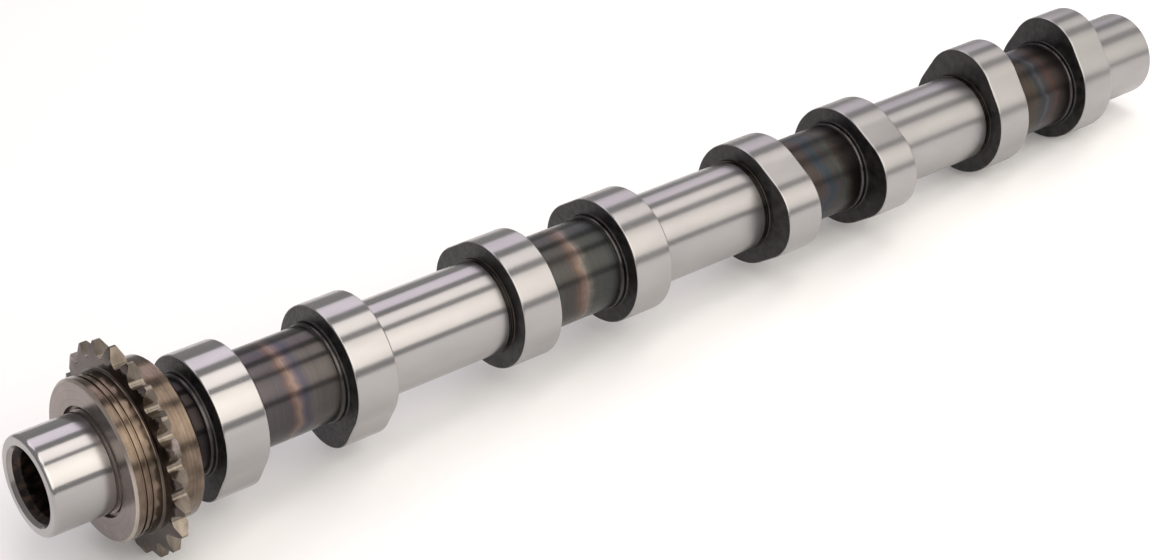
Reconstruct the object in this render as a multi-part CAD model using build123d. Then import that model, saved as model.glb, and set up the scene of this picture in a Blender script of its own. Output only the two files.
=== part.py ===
from build123d import *
import math
import os

# Overhead camshaft of a small four-cylinder engine with two valves for each cylinder on this shaft.
# Millimetres. X is the axis of rotation and runs from the chain end to the rear end, and Z is up.
# The origin is the middle of the front bearing, the ground stub that stands out of the chain wheel.

# Bearings
journal_d = 24.0
front_journal_l = 13.7
front_chamfer_l = 1.2
front_chamfer_h = 0.7
rear_journal_l = 20.55
rear_chamfer = 0.6

# Grinding relief beside each journal, and the narrow ring that it leaves next to a lobe
undercut_w = 0.6
undercut_depth = 0.25
journal_ring_w = 0.85
journal_ring_h = 0.2

# Turned necks, with a raised shoulder next to a lobe
neck_d = 24.1
shoulder_l = 1.8
shoulder_h = 0.5
shoulder_slope_l = 0.4

# Lobes
firing_order = (1, 3, 4, 2)
first_nose_deg = -90.0
first_cylinder_x = 55.64
cylinder_pitch = 84.08
valve_spacing = 35.44
lobe_w = 11.5
base_circle_d = 32.8
lift = 3.5
nose_r = 12.45
lobe_chamfer = 0.45

# Oil bore through the shaft, with a wide conical mouth at each end
bore_d = 16.0
bore_mouth_d = 19.4
bore_mouth_l = 2.6

# Seat of the chain wheel, behind the relief at the root of the front journal
seat_relief_w = 1.1
seat_relief_depth = 0.4
seat_d = 24.6

# Chain wheel hub
hub_gap = 0.7
hub_l = 17.4
hub_d = 38.6
hub_chamfer = 0.6
counterbore_d = 26.4
counterbore_depth = 1.4
groove_count = 2
first_groove_x = 2.46
groove_spacing = 1.54
groove_w = 0.5
groove_depth = 0.5

# Teeth, cut for a chain of seven millimetre pitch
teeth = 21
chain_pitch = 7.0
tip_d = 51.2
tip_land = 0.96
gullet_r = 1.5
tooth_x = 8.83
tooth_plate_w = 3.6
tooth_tip_w = 1.6
tooth_bevel_d = 46.8
first_tooth_deg = 88.38
plate_root_slope = 0.6

# Radii and places that follow from the sizes above
journal_r = journal_d / 2
neck_r = neck_d / 2
seat_r = seat_d / 2
hub_r = hub_d / 2
tip_r = tip_d / 2
base_r = base_circle_d / 2
ring_r = journal_r + journal_ring_h
undercut_r = journal_r - undercut_depth
shoulder_r = neck_r + shoulder_h
nose_offset = base_r + lift - nose_r
chain_r = chain_pitch / (2 * math.sin(math.pi / teeth))

front_x = -front_journal_l / 2 - front_chamfer_l
relief_x = front_journal_l / 2
seat_x = relief_x + seat_relief_w
hub_x = relief_x + hub_gap
hub_end_x = hub_x + hub_l
teeth_middle_x = hub_x + tooth_x
plate_x = teeth_middle_x - tooth_plate_w / 2
lobe_x = [
    first_cylinder_x + cylinder * cylinder_pitch + side * valve_spacing / 2 - lobe_w / 2
    for cylinder in range(len(firing_order))
    for side in (-1, 1)
]
rear_journal_x = lobe_x[-1] + lobe_w + journal_ring_w + undercut_w
rear_x = rear_journal_x + rear_journal_l + rear_chamfer


def turned(*corners):
    """Solid turned about X under a row of corners, each (x, radius)."""
    start, end = (corners[0][0], 0), (corners[-1][0], 0)
    return revolve(make_face(Polyline(start, *corners, end, close=True)), Axis.X)


def neck(start_x, end_x):
    """Turned neck between two lobes, with a shoulder against each that slopes down to it."""
    first, last = start_x + shoulder_l, end_x - shoulder_l
    return turned(
        (start_x, shoulder_r),
        (first - shoulder_slope_l, shoulder_r),
        (first, neck_r),
        (last, neck_r),
        (last + shoulder_slope_l, shoulder_r),
        (end_x, shoulder_r),
    )


def journal(start_x, end_x):
    """Ground bearing journal between two lobes, with a relief at each end."""
    first, last = start_x + journal_ring_w, end_x - journal_ring_w
    return turned(
        (start_x, ring_r),
        (first, ring_r),
        (first, undercut_r),
        (first + undercut_w, undercut_r),
        (first + undercut_w, journal_r),
        (last - undercut_w, journal_r),
        (last - undercut_w, undercut_r),
        (last, undercut_r),
        (last, ring_r),
        (end_x, ring_r),
    )


def front_end():
    """Front journal, its relief, the wheel's seat and the neck up to the first lobe."""
    last = lobe_x[0] - shoulder_l
    relief_r = journal_r - seat_relief_depth
    return turned(
        (front_x, journal_r - front_chamfer_h),
        (front_x + front_chamfer_l, journal_r),
        (relief_x, journal_r),
        (relief_x, relief_r),
        (seat_x, relief_r),
        (seat_x, seat_r),
        (hub_end_x, seat_r),
        (hub_end_x, neck_r),
        (last, neck_r),
        (last + shoulder_slope_l, shoulder_r),
        (lobe_x[0], shoulder_r),
    )


def rear_end():
    """Rear journal behind the last lobe, with a chamfered end."""
    start_x = lobe_x[-1] + lobe_w
    first = start_x + journal_ring_w
    return turned(
        (start_x, ring_r),
        (first, ring_r),
        (first, undercut_r),
        (rear_journal_x, undercut_r),
        (rear_journal_x, journal_r),
        (rear_x - rear_chamfer, journal_r),
        (rear_x, journal_r - rear_chamfer),
    )


def oil_bore():
    """Bore right through the shaft, with a cone at each mouth."""
    return turned(
        (front_x, bore_mouth_d / 2),
        (front_x + bore_mouth_l, bore_d / 2),
        (rear_x - bore_mouth_l, bore_d / 2),
        (rear_x, bore_mouth_d / 2),
    )


def lobe_outline():
    """Base circle and nose joined by two tangent flanks, with the nose on the sketch's +X."""
    flank = math.acos((base_r - nose_r) / nose_offset)
    across, up = math.cos(flank), math.sin(flank)
    base_low, base_high = (base_r * across, -base_r * up), (base_r * across, base_r * up)
    nose_low = (nose_offset + nose_r * across, -nose_r * up)
    nose_high = (nose_offset + nose_r * across, nose_r * up)
    return make_face(
        ThreePointArc(base_high, (-base_r, 0), base_low)
        + Line(base_low, nose_low)
        + ThreePointArc(nose_low, (nose_offset + nose_r, 0), nose_high)
        + Line(nose_high, base_high)
    )


def lobe(start_x, nose_deg):
    """One lobe, its nose turned by nose_deg from +Y towards +Z, with its rim edges broken."""
    blank = extrude(Plane.YZ.offset(start_x) * Rot(0, 0, nose_deg) * lobe_outline(), lobe_w)
    return chamfer(blank.faces().filter_by(Axis.X).edges(), lobe_chamfer)


def camshaft():
    """The one-piece shaft: two lobes for each cylinder, a neck in each pair and journals between."""
    quarter = 360 / len(firing_order)
    nose_deg = {number: first_nose_deg - order * quarter for order, number in enumerate(firing_order)}
    solids = [rear_end()]
    for index, start_x in enumerate(lobe_x):
        solids.append(lobe(start_x, nose_deg[index // 2 + 1]))
    for index in range(len(lobe_x) - 1):
        stretch = neck if index % 2 == 0 else journal
        solids.append(stretch(lobe_x[index] + lobe_w, lobe_x[index + 1]))
    return front_end() + solids - oil_bore()


def hub_corners():
    """Outline of the hub in front of the teeth: a chamfered rim with narrow grooves round it."""
    corners = [(hub_x, hub_r - hub_chamfer), (hub_x + hub_chamfer, hub_r)]
    for index in range(groove_count):
        middle = hub_x + first_groove_x + index * groove_spacing
        for x, radius in ((-1, hub_r), (-1, hub_r - groove_depth), (1, hub_r - groove_depth), (1, hub_r)):
            corners.append((middle + x * groove_w / 2, radius))
    return corners


def hub():
    """Hub before its bore is cut, sloping up to the front of the tooth plate at its root."""
    return turned(
        *hub_corners(),
        (plate_x - plate_root_slope, hub_r),
        (plate_x, hub_r + plate_root_slope),
        (plate_x, hub_r),
        (hub_end_x - hub_chamfer, hub_r),
        (hub_end_x, hub_r - hub_chamfer),
    )


def wheel_bore():
    """Bore that fits the seat, with the recess round the front journal."""
    recess_x = hub_x + counterbore_depth
    return turned(
        (hub_x, counterbore_d / 2),
        (recess_x, counterbore_d / 2),
        (recess_x, seat_r),
        (hub_end_x, seat_r),
    )


def tooth_edges():
    """One tooth on the sketch's +X: half a gullet, flank, tip land, flank and half a gullet."""
    half_pitch = math.pi / teeth
    gullet = Vector(chain_r * math.cos(half_pitch), chain_r * math.sin(half_pitch))
    corner = Vector(math.sqrt(tip_r**2 - (tip_land / 2) ** 2), tip_land / 2)
    reach = gullet - corner
    lean = math.asin(gullet_r / reach.length)
    flank_l = reach.length * math.cos(lean)
    flank_end = corner + reach.normalized().rotate(Axis.Z, math.degrees(lean)) * flank_l
    bottom = gullet - gullet.normalized() * gullet_r
    bisector = ((flank_end - gullet).normalized() + (bottom - gullet).normalized()).normalized()
    middle = gullet + bisector * gullet_r
    far_bottom, far_middle, far_flank_end, far_corner = (
        (point.X, -point.Y) for point in (bottom, middle, flank_end, corner)
    )
    return [
        ThreePointArc(far_bottom, far_middle, far_flank_end),
        Line(far_flank_end, far_corner),
        ThreePointArc(far_corner, (tip_r, 0), corner),
        Line(corner, flank_end),
        ThreePointArc(flank_end, middle, bottom),
    ]


def tooth_disc():
    """Toothed plate whose sides are bevelled towards the tips."""
    edges = [Rot(0, 0, turn * 360 / teeth) * edge for turn in range(teeth) for edge in tooth_edges()]
    outline = Rot(0, 0, first_tooth_deg) * Face(Wire(edges))
    blank = extrude(Plane.YZ.offset(plate_x) * outline, tooth_plate_w)
    bevelled = turned(
        (teeth_middle_x - tooth_plate_w / 2, tooth_bevel_d / 2),
        (teeth_middle_x - tooth_tip_w / 2, tip_r),
        (teeth_middle_x + tooth_tip_w / 2, tip_r),
        (teeth_middle_x + tooth_plate_w / 2, tooth_bevel_d / 2),
    )
    return blank & bevelled


def chain_wheel():
    """Wheel with a long hub, pressed on the seat in one piece with its teeth."""
    return hub() + tooth_disc() - wheel_bore()


os.makedirs("parts", exist_ok=True)
for name, piece in (("camshaft", camshaft()), ("chain_wheel", chain_wheel())):
    export_step(piece, f"parts/{name}.step")
    print(name, len(piece.solids()), "solid", round(piece.volume), "mm3")
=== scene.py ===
# %% [markdown]
# A camshaft on a white table. The real part is one steel shaft, turned, hardened on its lobes and ground
# bright where something runs on it, with a browned chain wheel pressed on near the front. The frame holds
# both as solids with few faces. Finer meshes stand for them here, because on metal that is almost a
# mirror every flat facet would show as a kink in a line of light.

import math

import bpy
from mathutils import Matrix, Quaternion, Vector


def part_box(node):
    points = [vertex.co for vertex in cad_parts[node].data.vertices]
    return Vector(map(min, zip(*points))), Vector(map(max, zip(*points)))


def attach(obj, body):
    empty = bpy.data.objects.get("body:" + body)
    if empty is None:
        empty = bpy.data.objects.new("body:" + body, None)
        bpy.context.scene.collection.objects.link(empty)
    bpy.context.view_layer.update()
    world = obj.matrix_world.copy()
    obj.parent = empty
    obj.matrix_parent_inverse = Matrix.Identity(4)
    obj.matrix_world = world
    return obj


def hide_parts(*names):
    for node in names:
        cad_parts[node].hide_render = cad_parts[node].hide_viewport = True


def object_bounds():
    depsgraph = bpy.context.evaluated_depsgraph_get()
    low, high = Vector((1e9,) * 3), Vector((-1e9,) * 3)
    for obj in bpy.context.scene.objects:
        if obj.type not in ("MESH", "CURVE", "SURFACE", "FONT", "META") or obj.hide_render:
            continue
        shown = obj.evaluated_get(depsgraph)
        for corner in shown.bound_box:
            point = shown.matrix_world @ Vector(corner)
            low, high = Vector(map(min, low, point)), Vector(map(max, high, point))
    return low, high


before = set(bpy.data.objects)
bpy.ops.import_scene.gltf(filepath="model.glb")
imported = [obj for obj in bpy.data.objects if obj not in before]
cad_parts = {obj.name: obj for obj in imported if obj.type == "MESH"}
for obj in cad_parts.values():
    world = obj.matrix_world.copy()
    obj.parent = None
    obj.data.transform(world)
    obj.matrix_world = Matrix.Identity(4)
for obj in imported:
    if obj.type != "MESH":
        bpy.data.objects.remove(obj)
cad_low, cad_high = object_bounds()
wheel_low, wheel_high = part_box("chain_wheel")
print("CAD box in mm:", [round(v * 1000, 1) for v in (*cad_low, *cad_high)])

# %% [markdown]
# X runs along the shaft, Z is up, and the origin is the middle of the front journal. Where the shaft and
# the wheel begin and end is read from the frame. Every other size is written in millimetres in the cell
# that needs it first. It could be measured on the frame's meshes too, but written out it says what it is,
# and it is the size of the solid that the finer mesh stands for.

# %% Ends of the two pieces
MM = 0.001

front_x = cad_low.x / MM
rear_x = cad_high.x / MM
hub_x = wheel_low.x / MM
hub_end_x = wheel_high.x / MM
print("shaft from", round(front_x, 2), "to", round(rear_x, 2))
print("wheel from", round(hub_x, 2), "to", round(hub_end_x, 2))

# %% [markdown]
# A few helpers stand for what a hand does in Blender: name a new primitive and go into edit mode, select
# just some objects, and give a modifier and apply it. Everything is deselected first each time, because
# operators act on all that is selected.

# %% Hand tools
def start_piece(name):
    """Names the primitive that was just added and goes into edit mode on it."""
    piece = bpy.context.active_object
    piece.name = piece.data.name = name
    bpy.ops.object.mode_set(mode="EDIT")
    return piece


def pick_only(*pieces):
    """Selects just these objects; the first is the active one."""
    bpy.ops.object.select_all(action="DESELECT")
    for piece in pieces:
        piece.select_set(True)
    bpy.context.view_layer.objects.active = pieces[0]


def modify(piece, kind, **settings):
    """Gives the piece one modifier and applies it."""
    pick_only(piece)
    modifier = piece.modifiers.new(kind.lower(), kind)
    for key, value in settings.items():
        setattr(modifier, key, value)
    bpy.ops.object.modifier_apply(modifier=modifier.name)


# %% [markdown]
# A lathe makes the shaft and the wheel's hub. Stacked cylinders would need a Boolean at every step, so
# they are made as the lathe does it: one vertex is walked along the outline with extrude, and the outline
# is spun about X. 180 steps keep long reflections smooth. A closed outline gives a closed wall, and a
# thin Bevel rounds each corner as an edge file would.

# %% Lathe
TURN_STEPS = 180
BROKEN_EDGE = 0.08
SHARP_DEG = 25
SEAM_GAP = 0.001


def break_edges(piece, width):
    """Rounds each corner of the piece that is sharper than SHARP_DEG; the width is in mm."""
    limit = math.radians(SHARP_DEG)
    modify(piece, "BEVEL", width=width * MM, segments=2, limit_method="ANGLE", angle_limit=limit)


def turned(name, corners, edge=BROKEN_EDGE):
    """Spins a closed row of (x, radius) corners in mm about X and breaks its sharp edges."""
    bpy.ops.object.select_all(action="DESELECT")
    bpy.ops.mesh.primitive_plane_add(size=MM)
    piece = start_piece(name)
    bpy.ops.mesh.merge(type="CENTER")
    here = Vector((0, 0, 0))
    for x, radius in corners + corners[:1]:
        there = Vector((x * MM, 0, radius * MM))
        if here.length == 0:
            bpy.ops.transform.translate(value=there)
        else:
            bpy.ops.mesh.extrude_region_move(TRANSFORM_OT_translate={"value": there - here})
        here = there
    bpy.ops.mesh.select_all(action="SELECT")
    bpy.ops.mesh.spin(steps=TURN_STEPS, angle=math.tau, center=(0, 0, 0), axis=(1, 0, 0))
    bpy.ops.mesh.select_all(action="SELECT")
    bpy.ops.mesh.remove_doubles(threshold=SEAM_GAP * MM)
    bpy.ops.mesh.normals_make_consistent(inside=False)
    bpy.ops.object.mode_set(mode="OBJECT")
    break_edges(piece, edge)
    print(name, len(piece.data.polygons), "faces")
    return piece


# %% [markdown]
# Eight lobes stand on the shaft, two for each of four cylinders, and the necks and journals fill the gaps
# between them. So the places of the lobes come first. Eight numbers could be listed, but they follow from
# the spacing of the cylinders and of the two valves of each.

# %% Places of the lobes
first_cylinder_x = 55.64
cylinder_pitch = 84.08
valve_spacing = 35.44
lobe_w = 11.5

lobe_x = [
    first_cylinder_x + cylinder * cylinder_pitch + side * valve_spacing / 2 - lobe_w / 2
    for cylinder in range(4)
    for side in (-1, 1)
]
print("lobes start at", [round(x, 1) for x in lobe_x])

# %% [markdown]
# Where a diameter changes, the tool leaves a small radius. A Bevel could round those corners, but not
# each by its own amount and not a hollow one, so the outline gets a row of corners on a quarter of an
# ellipse there. Such a round gives a long, soft highlight beside the hard line of a broken edge.

# %% Rounded corners
QUARTER_STEPS = 6


def quarter(from_x, from_r, to_x, to_r, hollow=False):
    """Corners on a quarter ellipse that leaves along the radius, or along X where it is hollow."""
    corners = []
    for step in range(QUARTER_STEPS + 1):
        angle = math.radians(90 / QUARTER_STEPS * step)
        lead, lag = math.sin(angle), 1 - math.cos(angle)
        along, out = (lead, lag) if hollow else (lag, lead)
        corners.append((from_x + (to_x - from_x) * along, from_r + (to_r - from_r) * out))
    return corners


print("corners in a quarter round:", len(quarter(0, 0, 1, 1)))

# %% [markdown]
# A turned neck joins the two lobes of a cylinder and rises to a rounded shoulder beside each. A ground
# journal lies between one cylinder and the next, with a relief for the edge of the grinding wheel and a
# narrow ring at each end. Both meet the side of a lobe in a small hollow fillet, and run on inside the
# lobe, so that the lobe can be united with them cleanly. One function makes each of these three forms for
# both of its sides.

# %% Beside a lobe
neck_r = 12.05
shoulder_l = 1.8
shoulder_r = 12.55
shoulder_round = 0.9
shoulder_fillet = 0.45

journal_r = 12.0
undercut_w = 0.6
undercut_r = 11.75
journal_ring_w = 0.85
journal_ring_r = 12.2
ring_fillet = 0.25

sunk_l = lobe_w / 3


def foot(lobe_side_x, side, radius, fillet):
    """Fillet beside a lobe and the corner inside it; side is 1 where the lobe lies behind the fillet."""
    rise = quarter(lobe_side_x - side * fillet, radius, lobe_side_x, radius + fillet, hollow=True)
    return (rise + [(lobe_side_x + side * sunk_l, radius + fillet)])[::side]


def shoulder(neck_end_x, side):
    """Rounded step from a neck up to its shoulder; side is 1 where the lobe lies behind it."""
    return quarter(neck_end_x, neck_r, neck_end_x + side * shoulder_round, shoulder_r)[::side]


def relieved(lobe_side_x, side):
    """Corners of the relief and the ring beside a lobe; side is 1 where the lobe lies behind them."""
    ring_x = lobe_side_x - side * journal_ring_w
    wall_x = ring_x - side * undercut_w
    corners = [(wall_x, journal_r), (wall_x, undercut_r), (ring_x, undercut_r), (ring_x, journal_ring_r)]
    return corners[::side]


print("a journal's ring stands", round(journal_ring_r - undercut_r, 2), "mm above its relief")

# %% [markdown]
# The front end carries the front journal, a relief and the wheel's seat, and an oil bore opens in a cone
# at both ends of the shaft. The outline starts inside the front mouth of the bore, comes out over the
# face, and runs along the outside up to the first lobe.

# %% Front end of the outline
front_journal_l = 13.7
front_chamfer_l = 1.2
front_chamfer_h = 0.7
seat_r = 12.3
seat_relief_w = 1.1
seat_relief_r = 11.6

bore_r = 8.0
bore_mouth_r = 9.7
bore_mouth_l = 2.6
bore_rim_l = 1.0

relief_x = front_journal_l / 2
seat_x = relief_x + seat_relief_w
rim_r = bore_mouth_r - (bore_mouth_r - bore_r) * bore_rim_l / bore_mouth_l

shaft_corners = [(front_x + bore_rim_l, rim_r), (front_x, bore_mouth_r)]
shaft_corners += quarter(front_x, journal_r - front_chamfer_h, front_x + front_chamfer_l, journal_r)
shaft_corners += [
    (relief_x, journal_r),
    (relief_x, seat_relief_r),
    (seat_x, seat_relief_r),
    (seat_x, seat_r),
    (hub_end_x, seat_r),
    (hub_end_x, neck_r),
]
shaft_corners += shoulder(lobe_x[0] - shoulder_l, 1) + foot(lobe_x[0], 1, shoulder_r, shoulder_fillet)
print("front end:", len(shaft_corners), "corners")

# %% [markdown]
# The rest of the outline goes from lobe to lobe, with a neck and a journal in turn, then over the rear
# journal and its chamfered end, and back through the bore. The whole of it is spun in one go, so the
# shaft is one closed body from the start, as the real one is.

# %% Rest of the outline, and the shaft
rear_chamfer = 0.6

for index in range(len(lobe_x) - 1):
    left_x, right_x = lobe_x[index] + lobe_w, lobe_x[index + 1]
    if index % 2 == 0:
        shaft_corners += foot(left_x, -1, shoulder_r, shoulder_fillet) + shoulder(left_x + shoulder_l, -1)
        shaft_corners += shoulder(right_x - shoulder_l, 1) + foot(right_x, 1, shoulder_r, shoulder_fillet)
    else:
        shaft_corners += foot(left_x, -1, journal_ring_r, ring_fillet) + relieved(left_x, -1)
        shaft_corners += relieved(right_x, 1) + foot(right_x, 1, journal_ring_r, ring_fillet)
rear_lobe_x = lobe_x[-1] + lobe_w
shaft_corners += foot(rear_lobe_x, -1, journal_ring_r, ring_fillet) + relieved(rear_lobe_x, -1)
shaft_corners += quarter(rear_x, journal_r - rear_chamfer, rear_x - rear_chamfer, journal_r)[::-1]
shaft_corners += [
    (rear_x, bore_mouth_r),
    (rear_x - bore_rim_l, rim_r),
    (rear_x - bore_mouth_l, bore_r),
    (front_x + bore_mouth_l, bore_r),
]
shaft = turned("camshaft_body", shaft_corners)

# %% [markdown]
# Lobes and teeth are made once and copied, and then united with what carries them or cut out of it. Four
# more helpers do that. A Boolean leaves pairs of vertices that almost touch where faces lie in one plane,
# so they are merged after each, or thin faces without an area would stay in the mesh.

# %% Tools for copies and Booleans
DOUBLES_GAP = 0.002


def settle(piece):
    """Puts the object at the origin with its place in its mesh."""
    pick_only(piece)
    bpy.ops.object.transform_apply(location=True, rotation=True, scale=True)
    return piece


def copied(piece, name, shift_mm, turn_deg):
    """Copy with its own mesh, moved along X and turned about X from +Y towards +Z."""
    pick_only(piece)
    bpy.ops.object.duplicate(linked=False)
    made = bpy.context.active_object
    made.name = made.data.name = name
    made.location.x = shift_mm * MM
    made.rotation_euler.x = math.radians(turn_deg)
    return settle(made)


def join(pieces):
    """Makes one object of several."""
    pick_only(*pieces)
    bpy.ops.object.join()
    return pieces[0]


def combine(piece, other, operation):
    """Unites the piece with the other, or cuts the other away, and merges doubles; the other is used up."""
    modify(piece, "BOOLEAN", object=other, operation=operation, solver="EXACT")
    bpy.data.objects.remove(other)
    bpy.ops.object.mode_set(mode="EDIT")
    bpy.ops.mesh.select_all(action="SELECT")
    bpy.ops.mesh.remove_doubles(threshold=DOUBLES_GAP * MM)
    bpy.ops.object.mode_set(mode="OBJECT")


# %% [markdown]
# A lobe pushes its valve open once a turn. Its outline is a base circle and a smaller nose circle, joined
# by a straight flank on each side. It could be drawn point by point, but a convex hull round two
# cylinders gives that shape exactly, with truly flat flanks.

# %% Body of a lobe
base_r = 16.4
nose_r = 12.45
nose_offset = 7.45
flat_deg = 0.5

upright = {"vertices": TURN_STEPS, "rotation": (0, math.pi / 2, 0)}
base_place = (lobe_w / 2 * MM, 0, 0)
nose_place = (lobe_w / 2 * MM, nose_offset * MM, 0)
bpy.ops.object.select_all(action="DESELECT")
bpy.ops.mesh.primitive_cylinder_add(radius=base_r * MM, depth=lobe_w * MM, location=base_place, **upright)
lobe = settle(bpy.context.active_object)
start_piece("lobe")
bpy.ops.mesh.primitive_cylinder_add(radius=nose_r * MM, depth=lobe_w * MM, location=nose_place, **upright)
bpy.ops.mesh.select_all(action="SELECT")
bpy.ops.mesh.convex_hull()
bpy.ops.mesh.select_all(action="SELECT")
bpy.ops.mesh.dissolve_limited(angle_limit=math.radians(flat_deg))
bpy.ops.mesh.select_all(action="DESELECT")
bpy.ops.object.mode_set(mode="OBJECT")
print("lobe body", len(lobe.data.polygons), "faces")

# %% [markdown]
# The grinder leaves the edges round both side faces broken by about half a millimetre. Only those edges
# are selected, by the side faces that they belong to, and bevelled. Then the middle is bored out, wider
# than the oil bore, so that the union with the shaft doesn't fill the bore.

# %% Broken edges and bore of a lobe
side_on = 0.99
lobe_edge = 0.45
core_r = (bore_r + journal_r) / 2

rims = {key for face in lobe.data.polygons if abs(face.normal.x) > side_on for key in face.edge_keys}
for edge in lobe.data.edges:
    edge.select = edge.key in rims
bpy.ops.object.mode_set(mode="EDIT")
bpy.ops.mesh.select_mode(type="EDGE")
bpy.ops.mesh.bevel(offset=lobe_edge * MM, segments=3, affect="EDGES")
bpy.ops.mesh.select_mode(type="VERT")
bpy.ops.object.mode_set(mode="OBJECT")
bpy.ops.object.select_all(action="DESELECT")
core_size = {"radius": core_r * MM, "depth": 2 * lobe_w * MM}
bpy.ops.mesh.primitive_cylinder_add(location=base_place, **core_size, **upright)
combine(lobe, settle(bpy.context.active_object), "DIFFERENCE")
print("lobe", len(lobe.data.polygons), "faces")

# %% [markdown]
# Both lobes of a cylinder point the same way, and each cylinder fires a quarter turn after the one before
# it in the order 1, 3, 4, 2. So a copy of the lobe is turned and placed eight times. Joined first, the
# copies need a single union with the shaft.

# %% Eight lobes on the shaft
firing_order = (1, 3, 4, 2)
first_nose_deg = -90.0

nose_deg = {number: first_nose_deg - 90.0 * order for order, number in enumerate(firing_order)}
lobes = [
    copied(lobe, f"lobe_{index + 1}", start_x, nose_deg[index // 2 + 1])
    for index, start_x in enumerate(lobe_x)
]
bpy.data.objects.remove(lobe)
combine(shaft, join(lobes), "UNION")
print("shaft with lobes", len(shaft.data.polygons), "faces")

# %% [markdown]
# The wheel is turned too, so its hub comes off the same lathe: a long sleeve with a recess round the
# front journal, two narrow grooves, and a bead that carries the teeth. A hollow fillet leads up to the
# front of the bead, where the real wheel has the radius of the tool's nose.

# %% Chain wheel hub
hub_r = 19.3
hub_chamfer = 0.6
recess_r = 13.2
recess_depth = 1.4
groove_places = (2.46, 4.0)
groove_w = 0.5
groove_r = hub_r - 0.5

teeth_middle_x = hub_x + 8.83
plate_w = 3.6
plate_x = teeth_middle_x - plate_w / 2
plate_fillet = 0.65
bead_end_x = plate_x + plate_w / 2

hub_corners = [(hub_x, recess_r), (hub_x, hub_r - hub_chamfer), (hub_x + hub_chamfer, hub_r)]
for groove in groove_places:
    for side, radius in ((-1, hub_r), (-1, groove_r), (1, groove_r), (1, hub_r)):
        hub_corners.append((hub_x + groove + side * groove_w / 2, radius))
hub_corners += quarter(plate_x - plate_fillet, hub_r, plate_x, hub_r + plate_fillet, hollow=True)
hub_corners += [
    (bead_end_x, hub_r + plate_fillet),
    (bead_end_x, hub_r),
    (hub_end_x - hub_chamfer, hub_r),
    (hub_end_x, hub_r - hub_chamfer),
    (hub_end_x, seat_r),
    (hub_x + recess_depth, seat_r),
    (hub_x + recess_depth, recess_r),
]
wheel = turned("chain_wheel_body", hub_corners)

# %% [markdown]
# The teeth stand on a plate whose sides are bevelled towards the rim, so that the chain's links slide on.
# The plate reaches into the hub, where the two are united later. Its own edges are hardly broken, because
# most of its rim is cut away next.

# %% Tooth plate
tip_r = 25.6
tip_w = 1.6
tooth_bevel_r = 23.4
plate_root_r = hub_r - 1
fine_edge = 0.02

plate = turned("tooth_plate", [
    (plate_x, plate_root_r),
    (plate_x, tooth_bevel_r),
    (teeth_middle_x - tip_w / 2, tip_r),
    (teeth_middle_x + tip_w / 2, tip_r),
    (plate_x + plate_w, tooth_bevel_r),
    (plate_x + plate_w, plate_root_r),
], edge=fine_edge)

# %% [markdown]
# A hob cuts the gap between two teeth: a round gullet where the chain's roller lies, and flanks that open
# outwards. Drawing 21 teeth would mean long lists of points, so the gap is the thing that is made. Where
# a flank leaves the gullet follows from the gullet's radius and the width of the land at a tooth's tip.

# %% Gullets of the teeth
teeth = 21
chain_pitch = 7.0
tip_land = 0.96
gullet_r = 1.5
cutter_top = 2.6

half_pitch = math.pi / teeth
chain_r = chain_pitch / (2 * math.sin(half_pitch))
gullet_y, gullet_x = chain_r * math.sin(half_pitch), chain_r * math.cos(half_pitch)
reach = math.hypot(tip_r - gullet_x, gullet_y - tip_land / 2)
land_lean = math.atan2(gullet_y - tip_land / 2, tip_r - gullet_x)
flank_lean = land_lean - math.asin(gullet_r / reach) + half_pitch
cutter_half = gullet_r / math.cos(flank_lean) + cutter_top * math.tan(flank_lean)
print("flanks lean", round(math.degrees(flank_lean), 1), "degrees from the middle of a gullet")

# %% [markdown]
# The cutter is a small cylinder along X, and a flat bar farther out that is as wide as the gap is there.
# Their convex hull has the gullet's round bottom and both flanks. It is copied round the plate, a Boolean
# takes all copies away at once, and the edges that this leaves are broken before the plate joins the hub.

# %% Cutting the teeth
GULLET_STEPS = 48
first_tooth_deg = 88.38
tooth_edge = 0.12
bar_h = 0.1

gullet_place = (teeth_middle_x * MM, chain_r * MM, 0)
gullet_size = {"vertices": GULLET_STEPS, "radius": gullet_r * MM, "depth": 2 * plate_w * MM}
bpy.ops.object.select_all(action="DESELECT")
bpy.ops.mesh.primitive_cylinder_add(location=gullet_place, rotation=(0, math.pi / 2, 0), **gullet_size)
cutter = settle(bpy.context.active_object)
start_piece("gullet_cutter")
bar_place = (gullet_place[0], gullet_place[1] + (cutter_top - bar_h / 2) * MM, 0)
bpy.ops.mesh.primitive_cube_add(size=MM, location=bar_place, scale=(2 * plate_w, bar_h, 2 * cutter_half))
bpy.ops.mesh.select_all(action="SELECT")
bpy.ops.mesh.convex_hull()
bpy.ops.object.mode_set(mode="OBJECT")
cutters = [
    copied(cutter, f"gullet_cutter_{tooth + 1}", 0, first_tooth_deg + (tooth + 0.5) * 360 / teeth)
    for tooth in range(teeth)
]
bpy.data.objects.remove(cutter)
combine(plate, join(cutters), "DIFFERENCE")
break_edges(plate, tooth_edge)
combine(wheel, plate, "UNION")
print("wheel with teeth", len(wheel.data.polygons), "faces")

# %% [markdown]
# Flat shading would show every step of the lathe. Smooth shading follows the round walls and stops at
# real corners. Weighted normals keep the large flat faces flat beside their small bevels, which is what
# makes an edge of ground steel catch the light in a line.

# %% Shading
SMOOTH_DEG = 30

for piece in (shaft, wheel):
    pick_only(piece)
    bpy.ops.object.shade_smooth_by_angle(angle=math.radians(SMOOTH_DEG))
    modify(piece, "WEIGHTED_NORMAL", mode="FACE_AREA", weight=50, keep_sharp=True)
    print(piece.name, "has", len(piece.data.vertices), "vertices")

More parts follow.
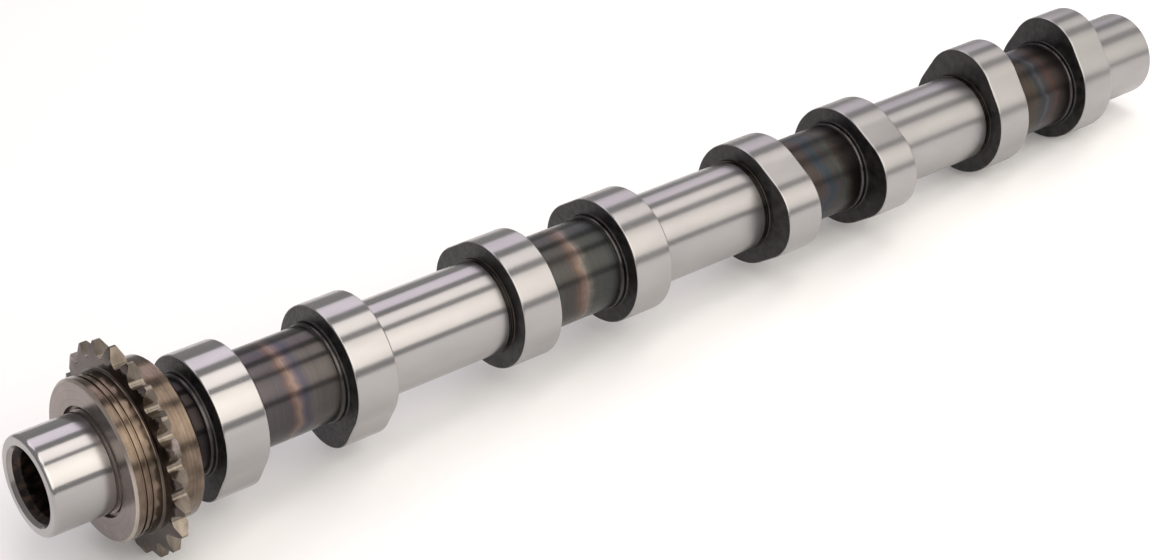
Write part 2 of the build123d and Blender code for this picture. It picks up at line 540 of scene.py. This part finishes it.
# %% [markdown]
# Each material starts from what the steel has been through. One helper turns an sRGB hex colour to
# linear, one adds a node with its settings and links, and one starts an empty material. Patterns read
# Object coordinates, which are metres here, so they stay where they are on the part from any side. Nearly
# all of a noise pattern lies between 0.3 and 0.7, so that is the span from which it is stretched to what
# it drives.

# %% Material helpers
def colour(hex_code):
    """Linear colour, with alpha, of an sRGB hex code."""
    channels = [int(hex_code[place:place + 2], 16) / 255 for place in (0, 2, 4)]
    return (*[c / 12.92 if c <= 0.04045 else ((c + 0.055) / 1.055) ** 2.4 for c in channels], 1.0)


def add(tree, kind, inputs=(), stops=(), **settings):
    """One node with its settings, its inputs by name or in order, and the stops of a colour ramp."""
    node = tree.nodes.new(kind)
    for key, value in settings.items():
        setattr(node, key, value)
    for key, value in inputs.items() if isinstance(inputs, dict) else enumerate(inputs):
        if isinstance(value, bpy.types.Node):
            tree.links.new(value.outputs[0], node.inputs[key])
        elif isinstance(value, bpy.types.NodeSocket):
            tree.links.new(value, node.inputs[key])
        else:
            node.inputs[key].default_value = value
    for place, (position, hex_code) in enumerate(stops):
        elements = node.color_ramp.elements
        stop = elements[place] if place < 2 else elements.new(position)
        stop.position, stop.color = position, colour(hex_code)
    return node


def new_material(name):
    """Empty material, its node tree, and Object coordinates."""
    made = bpy.data.materials.new(name)
    made.use_nodes = True
    tree = made.node_tree
    tree.nodes.clear()
    return made, tree, add(tree, "ShaderNodeTexCoord").outputs["Object"]


NOISE_SPAN = (0.3, 0.7)


def per_mm(x, y, z):
    """Scale of a Mapping node for a pattern whose features are x, y and z millimetres long."""
    return [1 / (size * MM) for size in (x, y, z)]


print("middle grey in linear light:", round(colour("808080")[0], 3))

# %% [markdown]
# Ground steel: hardened steel finished on a cylindrical grinder. It is almost a mirror round the shaft
# and blurred along it, because the grinding wheel leaves fine rings. Those are about 0.05 mm apart, too
# fine to show one by one, so an anisotropic gloss stands for them: the radial tangent runs round the
# shaft, and a quarter turn lays the blur along X. A few rings drawn 1 mm apart change the gloss by a
# hair. The polish is a little duller towards the rear, where the lines of light look softer.

# %% Ground steel
polish_span = (20 * MM, 260 * MM)
polish_gloss = (0.17, 0.29)
fleck_gloss = 0.008


def ground_steel():
    made, tree, place = new_material("ground_steel")
    wide = add(tree, "ShaderNodeMapping", {"Vector": place, "Scale": per_mm(22, 9, 9)})
    smudge = add(tree, "ShaderNodeTexNoise", {"Vector": wide, "Scale": 1.0, "Detail": 3.0})
    tone = add(tree, "ShaderNodeValToRGB", [smudge], [(0.3, "A2A0A0"), (0.7, "ACAAA9")])
    narrow = add(tree, "ShaderNodeMapping", {"Vector": place, "Scale": per_mm(0.9, 40, 40)})
    rings = add(tree, "ShaderNodeTexNoise", {"Vector": narrow, "Scale": 1.0, "Detail": 1.0})
    along = add(tree, "ShaderNodeSeparateXYZ", [place]).outputs["X"]
    satin = add(tree, "ShaderNodeMapRange", [along, *polish_span, *polish_gloss])
    fleck = add(tree, "ShaderNodeMapRange", [rings, *NOISE_SPAN, 0.0, fleck_gloss])
    gloss = add(tree, "ShaderNodeMath", [satin, fleck], operation="ADD")
    around = add(tree, "ShaderNodeTangent", direction_type="RADIAL", axis="X")
    shader = add(tree, "ShaderNodeBsdfPrincipled", {
        "Base Color": tone, "Metallic": 1.0, "Roughness": gloss,
        "Anisotropic": 0.75, "Anisotropic Rotation": 0.25, "Tangent": around,
    })
    add(tree, "ShaderNodeOutputMaterial", [shader])
    return made


finishes = {"ground": ground_steel()}
print("made", finishes["ground"].name)

# %% [markdown]
# Furnace scale: the lobes are heated by a coil and quenched, and their side faces are never ground, so a
# black iron oxide stays there. It is an oxide and not bare metal, so it is a dark, half-matt skin. Its
# grains are a tenth of a millimetre, and are drawn almost a millimetre wide so that the eye sees them as
# a texture.

# %% Furnace scale
def furnace_scale():
    made, tree, place = new_material("furnace_scale")
    patches = add(tree, "ShaderNodeMapping", {"Vector": place, "Scale": per_mm(2.5, 2.5, 2.5)})
    blotch = add(tree, "ShaderNodeTexNoise", {"Vector": patches, "Scale": 1.0, "Detail": 3.0})
    tone = add(tree, "ShaderNodeValToRGB", [blotch], [(0.38, "0C0B0B"), (0.66, "2B2829")])
    fine = add(tree, "ShaderNodeMapping", {"Vector": place, "Scale": per_mm(0.9, 0.9, 0.9)})
    pebble = add(tree, "ShaderNodeTexNoise", {"Vector": fine, "Scale": 1.0, "Detail": 2.0})
    gloss = add(tree, "ShaderNodeMapRange", [pebble, *NOISE_SPAN, 0.3, 0.5])
    relief = add(tree, "ShaderNodeBump", {"Height": pebble, "Strength": 0.6, "Distance": 0.12 * MM})
    shader = add(tree, "ShaderNodeBsdfPrincipled", {
        "Base Color": tone, "Metallic": 0.0, "Roughness": gloss, "Normal": relief,
    })
    add(tree, "ShaderNodeOutputMaterial", [shader])
    return made


finishes["scale"] = furnace_scale()
print("made", finishes["scale"].name)

# %% [markdown]
# The bore is drilled and stays dark with oil, which the eye knows by brown blotches with a dull shine. It
# is steel under a film, so it is only partly metallic.

# %% Oily bore
def oily_bore():
    made, tree, place = new_material("oily_bore")
    patches = add(tree, "ShaderNodeMapping", {"Vector": place, "Scale": per_mm(3, 1.5, 1.5)})
    film = add(tree, "ShaderNodeTexNoise", {"Vector": patches, "Scale": 1.0, "Detail": 3.0})
    tone = add(tree, "ShaderNodeValToRGB", [film], [(0.42, "0D0A09"), (0.68, "43332A")])
    gloss = add(tree, "ShaderNodeMapRange", [film, *NOISE_SPAN, 0.3, 0.5])
    shader = add(tree, "ShaderNodeBsdfPrincipled", {
        "Base Color": tone, "Metallic": 0.6, "Roughness": gloss,
    })
    add(tree, "ShaderNodeOutputMaterial", [shader])
    return made


finishes["bore"] = oily_bore()
print("made", finishes["bore"].name)

# %% [markdown]
# Turned steel with tool rings serves several places: the browned wheel, and on the shaft the mouth of the
# bore, the reliefs, the wheel's seat and the shoulders that a tool has rubbed. The rings lie across X on
# a round wall and about the axis on a faced one. They are about 0.15 mm apart on the real part, and are
# drawn 0.4 mm apart or more, in tone and bump, so that they show as fine lines.

# %% Turned steel with rings
def ringed_steel(name, low_hex, high_hex, roughness, ring_mm, faced=False):
    """Mottled steel with tool rings across X, or about the axis on a faced surface."""
    made, tree, place = new_material(name)
    patches = add(tree, "ShaderNodeMapping", {"Vector": place, "Scale": per_mm(5, 5, 5)})
    mottle = add(tree, "ShaderNodeTexNoise", {"Vector": patches, "Scale": 1.0, "Detail": 3.0})
    tone = add(tree, "ShaderNodeValToRGB", [mottle], [(0.3, low_hex), (0.7, high_hex)])
    if faced:
        flat = add(tree, "ShaderNodeVectorMath", [place, (0, 1, 1)], operation="MULTIPLY")
        radius = add(tree, "ShaderNodeVectorMath", [flat], operation="LENGTH").outputs["Value"]
        lined = add(tree, "ShaderNodeCombineXYZ", [radius])
    else:
        lined = place
    narrow = add(tree, "ShaderNodeMapping", {"Vector": lined, "Scale": per_mm(ring_mm, 60, 60)})
    rings = add(tree, "ShaderNodeTexNoise", {"Vector": narrow, "Scale": 1.0, "Detail": 2.0})
    dim = add(tree, "ShaderNodeMapRange", [rings, *NOISE_SPAN, 0.82, 1.12])
    lined_tone = add(tree, "ShaderNodeVectorMath", {0: tone, "Scale": dim}, operation="SCALE")
    gloss = add(tree, "ShaderNodeMapRange", [mottle, *NOISE_SPAN, roughness - 0.03, roughness + 0.05])
    relief = add(tree, "ShaderNodeBump", {"Height": rings, "Strength": 0.2, "Distance": 0.02 * MM})
    shader = add(tree, "ShaderNodeBsdfPrincipled", {
        "Base Color": lined_tone, "Metallic": 1.0, "Roughness": gloss, "Normal": relief,
    })
    add(tree, "ShaderNodeOutputMaterial", [shader])
    return made


finishes |= {
    "mouth": ringed_steel("turned_bore_mouth", "918C89", "A19C99", 0.2, 0.4),
    "relief": ringed_steel("dark_relief", "38332F", "4A4541", 0.2, 0.4),
    "seat": ringed_steel("turned_recess", "8A827E", "9C948F", 0.42, 0.5),
    "shoulder": ringed_steel("rubbed_shoulder", "383535", "504D4D", 0.22, 0.4),
}
print("finishes so far:", list(finishes))

# %% [markdown]
# Turned neck: bare steel as it left the lathe, darkened by the heat of hardening. Midway between two
# lobes, where the heat of both ran out, a band of oxide colours stays, from straw to brown, purple and
# blue. A ramp along X draws it, and a cloud pushes the place to and fro, so that the band wavers as it
# goes round. The tool leaves rings about 0.2 mm apart, drawn 0.5 mm apart in tone and bump.

# %% Turned neck
def turned_neck(number, start_x, end_x, stops, roughness, waver_mm):
    """Dark turned steel with a band of heat tints; stops are (share of the neck, hex)."""
    made, tree, place = new_material(f"turned_neck_{number}")
    along = add(tree, "ShaderNodeSeparateXYZ", [place]).outputs["X"]
    wide = add(tree, "ShaderNodeMapping", {"Vector": place, "Scale": per_mm(12, 5, 5)})
    cloud = add(tree, "ShaderNodeTexNoise", {"Vector": wide, "Scale": 1.0, "Detail": 3.0})
    waver = add(tree, "ShaderNodeMapRange", [cloud, 0.0, 1.0, -waver_mm * MM, waver_mm * MM])
    wavy = add(tree, "ShaderNodeMath", [along, waver], operation="ADD")
    share = add(tree, "ShaderNodeMapRange", [wavy, start_x * MM, end_x * MM, 0.0, 1.0])
    tint = add(tree, "ShaderNodeValToRGB", [share], stops)
    narrow = add(tree, "ShaderNodeMapping", {"Vector": place, "Scale": per_mm(0.5, 60, 60)})
    rings = add(tree, "ShaderNodeTexNoise", {"Vector": narrow, "Scale": 1.0, "Detail": 2.0})
    dim = add(tree, "ShaderNodeMapRange", [rings, *NOISE_SPAN, 0.86, 1.06])
    tone = add(tree, "ShaderNodeVectorMath", {0: tint, "Scale": dim}, operation="SCALE")
    gloss = add(tree, "ShaderNodeMapRange", [cloud, 0.35, 0.65, roughness, roughness + 0.08])
    relief = add(tree, "ShaderNodeBump", {"Height": rings, "Strength": 0.45, "Distance": 0.02 * MM})
    around = add(tree, "ShaderNodeTangent", direction_type="RADIAL", axis="X")
    shader = add(tree, "ShaderNodeBsdfPrincipled", {
        "Base Color": tone, "Metallic": 1.0, "Roughness": gloss,
        "Anisotropic": 0.6, "Anisotropic Rotation": 0.25, "Tangent": around, "Normal": relief,
    })
    add(tree, "ShaderNodeOutputMaterial", [shader])
    return made


# %% [markdown]
# Each neck was heated on its own, so each has its own band, polish and waver. The first of the five, the
# short one behind the wheel, has no band at all, and in the last two the colours have run together. Beside
# the next lobe the first neck and the last two turn almost black, and the other two a little darker: that
# is painted shade in the corner by the lobe and a painted reflection of its dark side, over a tint that is
# partly the steel's own.

# %% Five necks
neck_gaps = [(hub_end_x, lobe_x[0])] + [(lobe_x[i] + lobe_w, lobe_x[i + 1]) for i in (0, 2, 4, 6)]
# The last stops of the first neck and of the last two go almost black beside the next lobe: painted shade
# and a painted reflection of the lobe's dark side, over a tint that is partly the steel's own.
neck_tints_and_shade = [
    [(0.0, "3A3432"), (0.6, "2C2828"), (0.73, "1E1B1A")],
    [
        (0.0, "524E4F"), (0.33, "4C484B"), (0.38, "5E4F4A"), (0.44, "7A6961"),
        (0.49, "5C5357"), (0.54, "484750"), (0.63, "555150"), (0.85, "4D4A48"),
    ],
    [
        (0.0, "484A49"), (0.33, "4B4846"), (0.39, "5A4E48"), (0.43, "6B5A50"),
        (0.475, "786C66"), (0.52, "5E5A55"), (0.56, "474846"), (0.85, "3E403F"),
    ],
    [
        (0.0, "46403D"), (0.26, "4A423E"), (0.34, "414247"), (0.4, "394046"),
        (0.46, "3D4347"), (0.52, "474240"), (0.57, "404241"), (0.64, "464743"),
        (0.72, "3B3632"), (0.8, "2C2827"), (0.86, "252122"),
    ],
    [
        (0.0, "463E38"), (0.3, "4A433E"), (0.38, "41403F"), (0.43, "3E4044"), (0.475, "4E4F53"),
        (0.53, "424144"), (0.6, "46403F"), (0.66, "4E3F3B"), (0.74, "3C3634"), (0.85, "302C2B"),
    ],
]
neck_roughness = (0.16, 0.2, 0.25, 0.3, 0.3)
neck_waver = (0.5, 2.4, 2.4, 4.5, 3.5)

for number, (gap, stops) in enumerate(zip(neck_gaps, neck_tints_and_shade)):
    surface = (neck_roughness[number], neck_waver[number])
    finishes[f"neck_{number}"] = turned_neck(number, *gap, stops, *surface)
    print(f"neck_{number} is", round(gap[1] - gap[0], 2), "mm long and has", len(stops), "tints")

# %% [markdown]
# Faces could be painted by hand, but there are many thousands. So each takes its finish from its place:
# its distance from the axis, where it lies along X, and which way it faces. That is how a machinist would
# tell the surfaces apart as well. The centre of a face on a broken edge lies a little beside the true
# surface, so each limit below leaves some room for it.

# %% Telling the shaft's surfaces apart
ALONG_X = 0.9

bore_top_r = bore_mouth_r + 0.1
lobe_rim_r = shoulder_r + 0.1
fillet_foot_r = shoulder_r + 0.02
shoulder_foot_r = neck_r + 0.03
seat_from_x = relief_x - 0.05
relief_w = journal_ring_w + undercut_w + 0.05
side_room = 0.01


def shaft_finish(x, radius, normal):
    """Name of the finish of a face at x and radius in mm."""
    facing_out = abs(normal.x) < ALONG_X
    if radius < bore_top_r and facing_out:
        return "bore" if front_x + bore_rim_l < x < rear_x - bore_rim_l else "mouth"
    for start_x in lobe_x:
        if min(abs(x - start_x), abs(x - start_x - lobe_w)) < side_room:
            return "scale"
        if start_x < x < start_x + lobe_w and radius > lobe_rim_r:
            return "ground" if facing_out else "scale"
    if seat_from_x < x < hub_end_x:
        return "seat"
    for number, (start_x, end_x) in enumerate(neck_gaps):
        if start_x < x < end_x and radius > fillet_foot_r:
            return "scale"
        if start_x < x < end_x:
            return "shoulder" if radius > shoulder_foot_r else f"neck_{number}"
    for side_x in lobe_x:
        if 0 < side_x - x < relief_w or 0 < x - side_x - lobe_w < relief_w:
            return "relief"
    return "ground"


def dress(piece, chosen, choose):
    """Gives the piece the chosen finishes and each face the one that choose names."""
    piece.data.materials.clear()
    names = list(chosen)
    for name in names:
        piece.data.materials.append(chosen[name])
    counts = dict.fromkeys(names, 0)
    for face in piece.data.polygons:
        centre = face.center
        name = choose(centre.x / MM, math.hypot(centre.y, centre.z) / MM, face.normal)
        face.material_index = names.index(name)
        counts[name] += 1
    print(piece.name, counts)


dress(shaft, finishes, shaft_finish)

# %% [markdown]
# The wheel was hardened in a furnace and tempered brown, and no chain has run on it yet. The brown is
# deepest in tone on the turned rims, greyer on the faced ends, and the flanks of the teeth are brighter,
# because they were cut last. The sides of the teeth are a darker copy of the faced steel, which is painted
# shade on the plate between the hub and the tips. The front chamfer gets a pale tone, a painted highlight
# that draws a thin light line round the face. The recess is finished as the shaft's seat is, and the
# wheel's bore as the shaft's, so they share those two materials.

# %% Finishes on the wheel
wheel_finishes = {
    "rim": ringed_steel("browned_rim", "52483F", "7C6D60", 0.18, 0.4),
    "face": ringed_steel("faced_steel", "857B77", "948A86", 0.24, 0.5, faced=True),
    # The sides of the teeth are a darker copy of the faced steel: painted shade on the plate between the
    # hub and the tips.
    "side": ringed_steel("shaded_tooth_side", "4A423F", "5A524E", 0.18, 0.5, faced=True),
    "flank": ringed_steel("cut_flank", "5E564E", "857D73", 0.2, 0.8),
    # The chamfer's pale tone is a painted highlight, the thin light line round the front face.
    "edge": ringed_steel("chamfer_painted_highlight", "A89E95", "BAB0A7", 0.32, 0.5, faced=True),
    "groove": ringed_steel("brown_groove", "6A5A4C", "7A6A5A", 0.3, 0.5),
    "recess": finishes["seat"],
    "bore": finishes["bore"],
}

wheel_bore_r = seat_r + 0.1
recess_top_r = recess_r + 0.1
recess_end_x = hub_x + recess_depth
recess_room = 0.1
tooth_foot_r = hub_r + 0.1
groove_top_r = hub_r - 0.15
end_room = 0.2
chamfer_end_x = hub_x + hub_chamfer + 0.05
chamfer_lean = 0.4
tooth_side_lean = 0.3


def wheel_finish(x, radius, normal):
    """Name of the finish of a face at x and radius in mm."""
    end_on = abs(normal.x) > ALONG_X
    at_front, at_rear = x < hub_x + end_room, x > hub_end_x - end_room
    if radius < wheel_bore_r and x > recess_end_x:
        return "bore"
    if radius < recess_top_r and x < recess_end_x + recess_room and not (at_front and end_on):
        return "recess"
    if radius > tooth_foot_r:
        # The sides of the teeth take the darker copy that paints their shade.
        return "side" if abs(normal.x) > tooth_side_lean else "flank"
    if end_on and (at_front or at_rear):
        return "face"
    # The front chamfer takes the pale tone of the painted highlight.
    if chamfer_lean < -normal.x <= ALONG_X and x < chamfer_end_x:
        return "edge"
    if radius < groove_top_r and hub_x + hub_chamfer < x < hub_end_x - hub_chamfer:
        return "groove"
    return "rim"


dress(wheel, wheel_finishes, wheel_finish)

# %% [markdown]
# Each finer mesh stands for one solid of the frame, which is hidden from now on. Nothing on a camshaft
# moves against the rest of it, so both pieces ride on its one body.

# %% Tie the pieces to the frame
for piece, node, slot in ((shaft, "camshaft", "shaft_steel"), (wheel, "chain_wheel", "wheel_steel")):
    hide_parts(node)
    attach(piece, "root")
    print(piece.name, "stands for", node)

# %% [markdown]
# The part lies on a white table, on the teeth of the wheel and on the last lobe, so its shaft is not
# quite level. It keeps its place, and the table is tilted under it instead. A plain disc is enough,
# because it reaches far past the edges of the picture. A little of the white is added as light that only
# the camera and reflections see: the table looks white and keeps the part's shadow, and the light on the
# part stays as the lamps give it.

# %% Table
table_r = 12.0
table_gap = 0.02
table_glow = 0.08

contact_front = Vector((teeth_middle_x * MM, 0, wheel_low.z))
contact_rear = Vector(((lobe_x[-1] + lobe_w) * MM, 0, -base_r * MM))
table_slope = math.atan2(contact_rear.z - contact_front.z, contact_rear.x - contact_front.x)
disc = {"vertices": 96, "radius": table_r, "fill_type": "NGON"}
bpy.ops.object.select_all(action="DESELECT")
bpy.ops.mesh.primitive_circle_add(rotation=(0, -table_slope, 0), **disc)
table = bpy.context.active_object
table.name = "table"
table.location = contact_front - Vector((0, 0, table_gap * MM))
print("table slope", round(math.degrees(table_slope), 2), "degrees")

# %% White table paint
table_paint, tree = new_material("white_table")[:2]
path = add(tree, "ShaderNodeLightPath")
direct, mirrored = path.outputs["Is Camera Ray"], path.outputs["Is Glossy Ray"]
seen = add(tree, "ShaderNodeMath", [direct, mirrored], operation="ADD")
seen = add(tree, "ShaderNodeMath", [seen, path.outputs["Is Transmission Ray"]], operation="ADD")
lift = add(tree, "ShaderNodeMath", [seen, table_glow], operation="MULTIPLY")
shader = add(tree, "ShaderNodeBsdfPrincipled", {
    "Base Color": colour("F7F7F7"), "Roughness": 0.7,
    "Emission Color": colour("FFFFFF"), "Emission Strength": lift,
})
add(tree, "ShaderNodeOutputMaterial", [shader])
table.data.materials.append(table_paint)
print("made", table_paint.name)

# %% [markdown]
# Polished metal shows its surroundings, so three soft boxes hang round the shaft: two overhead, one
# behind the other, and a large one in front. A single large lamp would leave the journals plain. The
# narrow gaps between the boxes show the dimmer room, which draws thin dark lines along the journals. The
# boxes are turned a little in their own plane, so the lines drift round the shaft along its length, and
# their cloth shines less to the side, so the rear end of the shaft is dimmer.

# %% Soft boxes
SPREAD_DEG = 110


def soft_box(name, centre, size, lean_deg, turn_deg, hex_code, radiance):
    """Area light of a size in metres, leaned about X towards the camera and turned in its own plane."""
    data = bpy.data.lights.new(name, "AREA")
    data.shape = "RECTANGLE"
    data.size, data.size_y = size
    data.color = colour(hex_code)[:3]
    data.energy = radiance * math.pi * data.size * data.size_y
    data.spread = math.radians(SPREAD_DEG)
    lamp = bpy.data.objects.new(name, data)
    lamp.location = centre
    lamp.rotation_mode = "ZYX"
    lamp.rotation_euler = (math.radians(lean_deg), 0, math.radians(turn_deg))
    lamp.visible_camera = False
    bpy.context.scene.collection.objects.link(lamp)
    print(name, "gives", round(data.energy, 1), "W")


def over(lean_deg, reach, x, back=0.0):
    """Place at that reach from the shaft, leaned to the camera, then x along and back in that plane."""
    lean = math.radians(lean_deg)
    out = Vector((0, -math.sin(lean), math.cos(lean)))
    return reach * out + Vector((x, back * math.cos(lean), back * math.sin(lean)))


soft_box("back_soft_box", over(-35, 1.8, 1.6, 0.468), (4.2, 0.83), -35, 28, "FDF2FF", 0.62)
soft_box("top_soft_box", over(0, 1.5, 1.4, 0.105), (4.0, 0.65), 0, 21.5, "FFF8F2", 0.9)
soft_box("front_soft_box", over(52, 1.5, 1.3), (4.0, 1.36), 52, 3, "FFF8EE", 0.98)

# %% [markdown]
# The room round the table is a plain pale grey. It is what the steel shows between the soft boxes, so its
# strength sets how dark the lines along the journals are.

# %% Room
room_strength = 0.42

world = bpy.data.worlds.new("pale_room")
world.use_nodes = True
bpy.context.scene.world = world
room = world.node_tree.nodes["Background"]
room.inputs["Color"].default_value = colour("FFFCFC")
room.inputs["Strength"].default_value = room_strength
print("room strength", room_strength)

# %% [markdown]
# The camera stands where the photograph was taken from: to the left of the part and above it, with a lens
# of 77 mm and a slight roll. It could be aimed with a Track To constraint, but written as a direction and
# a roll it is plain to read and holds the view exactly.

# %% Camera
camera_place = Vector((-196.45, -427.8, 285.8)) * MM
camera_azimuth, camera_elevation, camera_roll = 38.61, 27.82, 1.45
camera_lens = 76.95

azimuth, elevation = math.radians(camera_azimuth), math.radians(camera_elevation)
ahead = Vector((
    math.sin(azimuth) * math.cos(elevation),
    math.cos(azimuth) * math.cos(elevation),
    -math.sin(elevation),
))
camera_data = bpy.data.cameras.new("camera")
camera_data.lens = camera_lens
camera_data.clip_start, camera_data.clip_end = 0.01, 50
camera = bpy.data.objects.new("camera", camera_data)
camera.location = camera_place
camera.rotation_mode = "QUATERNION"
level_view = ahead.to_track_quat("-Z", "Y")
camera.rotation_quaternion = level_view @ Quaternion((0, 0, 1), -math.radians(camera_roll))
bpy.context.scene.collection.objects.link(camera)
bpy.context.scene.camera = camera
bpy.context.scene.view_settings.view_transform = "Standard"
print("camera right", [round(v, 4) for v in camera.rotation_quaternion @ Vector((1, 0, 0))])
